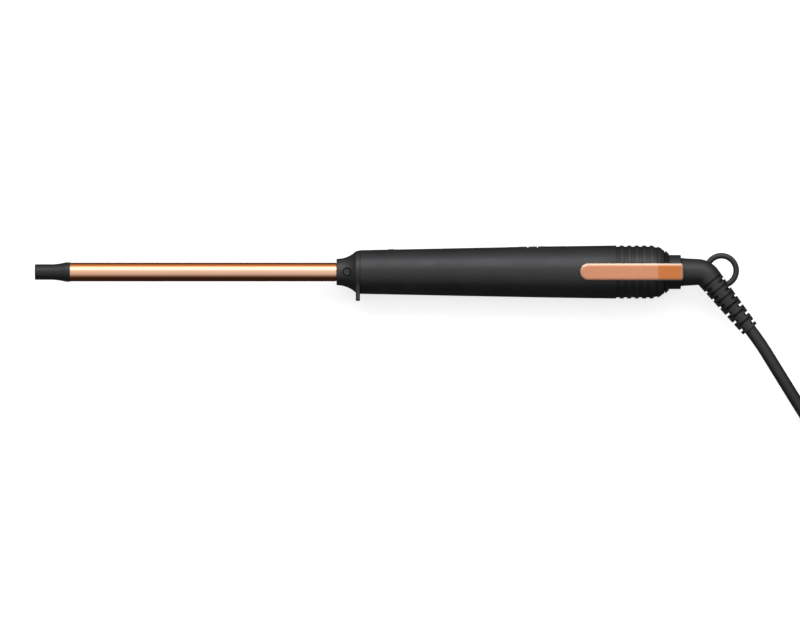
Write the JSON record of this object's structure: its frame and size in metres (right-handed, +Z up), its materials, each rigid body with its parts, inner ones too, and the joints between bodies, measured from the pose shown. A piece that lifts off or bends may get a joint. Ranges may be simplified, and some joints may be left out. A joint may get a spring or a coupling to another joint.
{
  "type": "curling iron",
  "caption": "Slim clipless curling wand with a copper barrel, a stand foot, side keys and a coiled swivel cord.",
  "frame": {"origin": "on the floor under the middle of the iron lying on its side, its free cord left out", "axes": "+X along the iron from the cool tip to the cord end, +Y towards the keys, +Z up, towards the side with the trim strip"},
  "size_m": [0.5214, 0.1454, 0.0288],
  "materials": {
    "tip_plastic": "heat-resistant moulded plastic, fine spark-eroded texture",
    "barrel_copper": "copper-coloured satin coating on aluminium, faint lengthwise polish",
    "heater_aluminium": "as extruded",
    "polyimide_film": "amber insulating film",
    "ptc_ceramic": "sintered",
    "contact_brass": "bright spring contact metal",
    "sensor_glass": "glass bead",
    "collar_plastic": "satin moulded plastic",
    "liner_plastic": "natural heat-resistant nylon",
    "bush_plastic": "black acetal",
    "mica_ring": "pressed mica",
    "collar_screw_steel": "black oxide",
    "trim_copper": "copper-coloured metallic lacquer, satin, polished bevel",
    "handle_plastic": "soft-touch satin plastic with a fine grain",
    "screw_steel": "zinc plated",
    "tail_plastic": "satin moulded plastic, ribbed",
    "panel_plastic": "polished black inlay",
    "lens_plastic": "translucent red",
    "key_rubber": "matte silicone with raised symbols",
    "plunger_plastic": "natural nylon",
    "circuit_board": "green solder mask",
    "capacitor_red": "dipped epoxy",
    "capacitor_sleeve": "shrink sleeve",
    "chip_black": "moulded epoxy",
    "resistor_body": "glazed film resistor",
    "led_red": "diffused epoxy",
    "switch_steel": "plated cover",
    "fuse_steel": "drawn can",
    "wire_red": "silicone insulation",
    "wire_white": "fluoropolymer insulation",
    "wire_black": "silicone insulation",
    "wire_blue": "insulated core",
    "shaft_plastic": "glass-filled nylon",
    "spring_steel": "phosphated",
    "elbow_rubber": "flexible moulded strain relief, satin",
    "cord_jacket": "flexible cord jacket, satin",
    "strap_fabric": "woven hook-and-loop strap",
    "plug_plastic": "moulded-on plug",
    "pin_nickel": "nickel-plated brass",
    "pin_sleeve_plastic": "insulating sleeve"
  },
  "bodies": {
    "handle": {"barrel_holder": "liner_plastic", "barrel_insulator": "mica_ring", "barrel_tube": "barrel_copper", "brush_holder": "liner_plastic", "brush_leads": "wire_black", "collar": "collar_plastic", "collar_screws": "collar_screw_steel", "contact_brushes": "contact_brass", "control_panel": "panel_plastic", "cool_tip": "tip_plastic", "electrode_strips": "contact_brass", "electrolytic_capacitor": "capacitor_sleeve", "film_capacitor": "capacitor_red", "handle_screws": "screw_steel", "handle_shell_back": "handle_plastic", "handle_shell_front": "handle_plastic", "heater_core_lower": "heater_aluminium", "heater_core_upper": "heater_aluminium", "heater_insulation": "polyimide_film", "heater_leads": "wire_red", "indicator_lens": "lens_plastic", "main_board": "circuit_board", "microcontroller": "chip_black", "neck_ring": "tail_plastic", "power_resistor": "resistor_body", "ptc_heaters": "ptc_ceramic", "sensor_leads": "wire_white", "stand_ring": "collar_plastic", "status_led": "led_red", "swivel_bush": "bush_plastic", "tact_switches": "switch_steel", "tail_cap": "tail_plastic", "thermal_fuse": "fuse_steel", "thermistor": "sensor_glass", "triac": "chip_black", "trim_strip": "trim_copper"},
    "cord_swivel": {"cord_elbow": "elbow_rubber", "swivel_shaft": "shaft_plastic", "slip_rings": "contact_brass", "retaining_clip": "spring_steel", "cord_cores": "wire_blue", "mains_cord": "cord_jacket", "cord_tail": "cord_jacket", "cord_coil": "cord_jacket", "coil_strap": "strap_fabric", "plug_body": "plug_plastic", "plug_pins": "pin_nickel", "pin_sleeves": "pin_sleeve_plastic"},
    "key_plus": {"button_plus": "key_rubber", "plunger_plus": "plunger_plastic"},
    "key_power": {"button_power": "key_rubber", "plunger_power": "plunger_plastic"},
    "key_minus": {"button_minus": "key_rubber", "plunger_minus": "plunger_plastic"}
  },
  "joints": [
    {"name": "cord_swivel_turn", "type": "hinge", "parent": "handle", "child": "cord_swivel", "pos_m": [0.14741, 0.00961, 0.01417], "axis": [1, 0, 0], "continuous": true},
    {"name": "key_plus_press", "type": "slide", "parent": "handle", "child": "key_plus", "axis": [0, -1, 0], "range_m": [0, 0.0005], "stiffness_N_per_m": 1500, "springref_m": -0.0005},
    {"name": "key_power_press", "type": "slide", "parent": "handle", "child": "key_power", "axis": [0, -1, 0], "range_m": [0, 0.0005], "stiffness_N_per_m": 1500, "springref_m": -0.0005},
    {"name": "key_minus_press", "type": "slide", "parent": "handle", "child": "key_minus", "axis": [0, -1, 0], "range_m": [0, 0.0005], "stiffness_N_per_m": 1500, "springref_m": -0.0005}
  ]
}
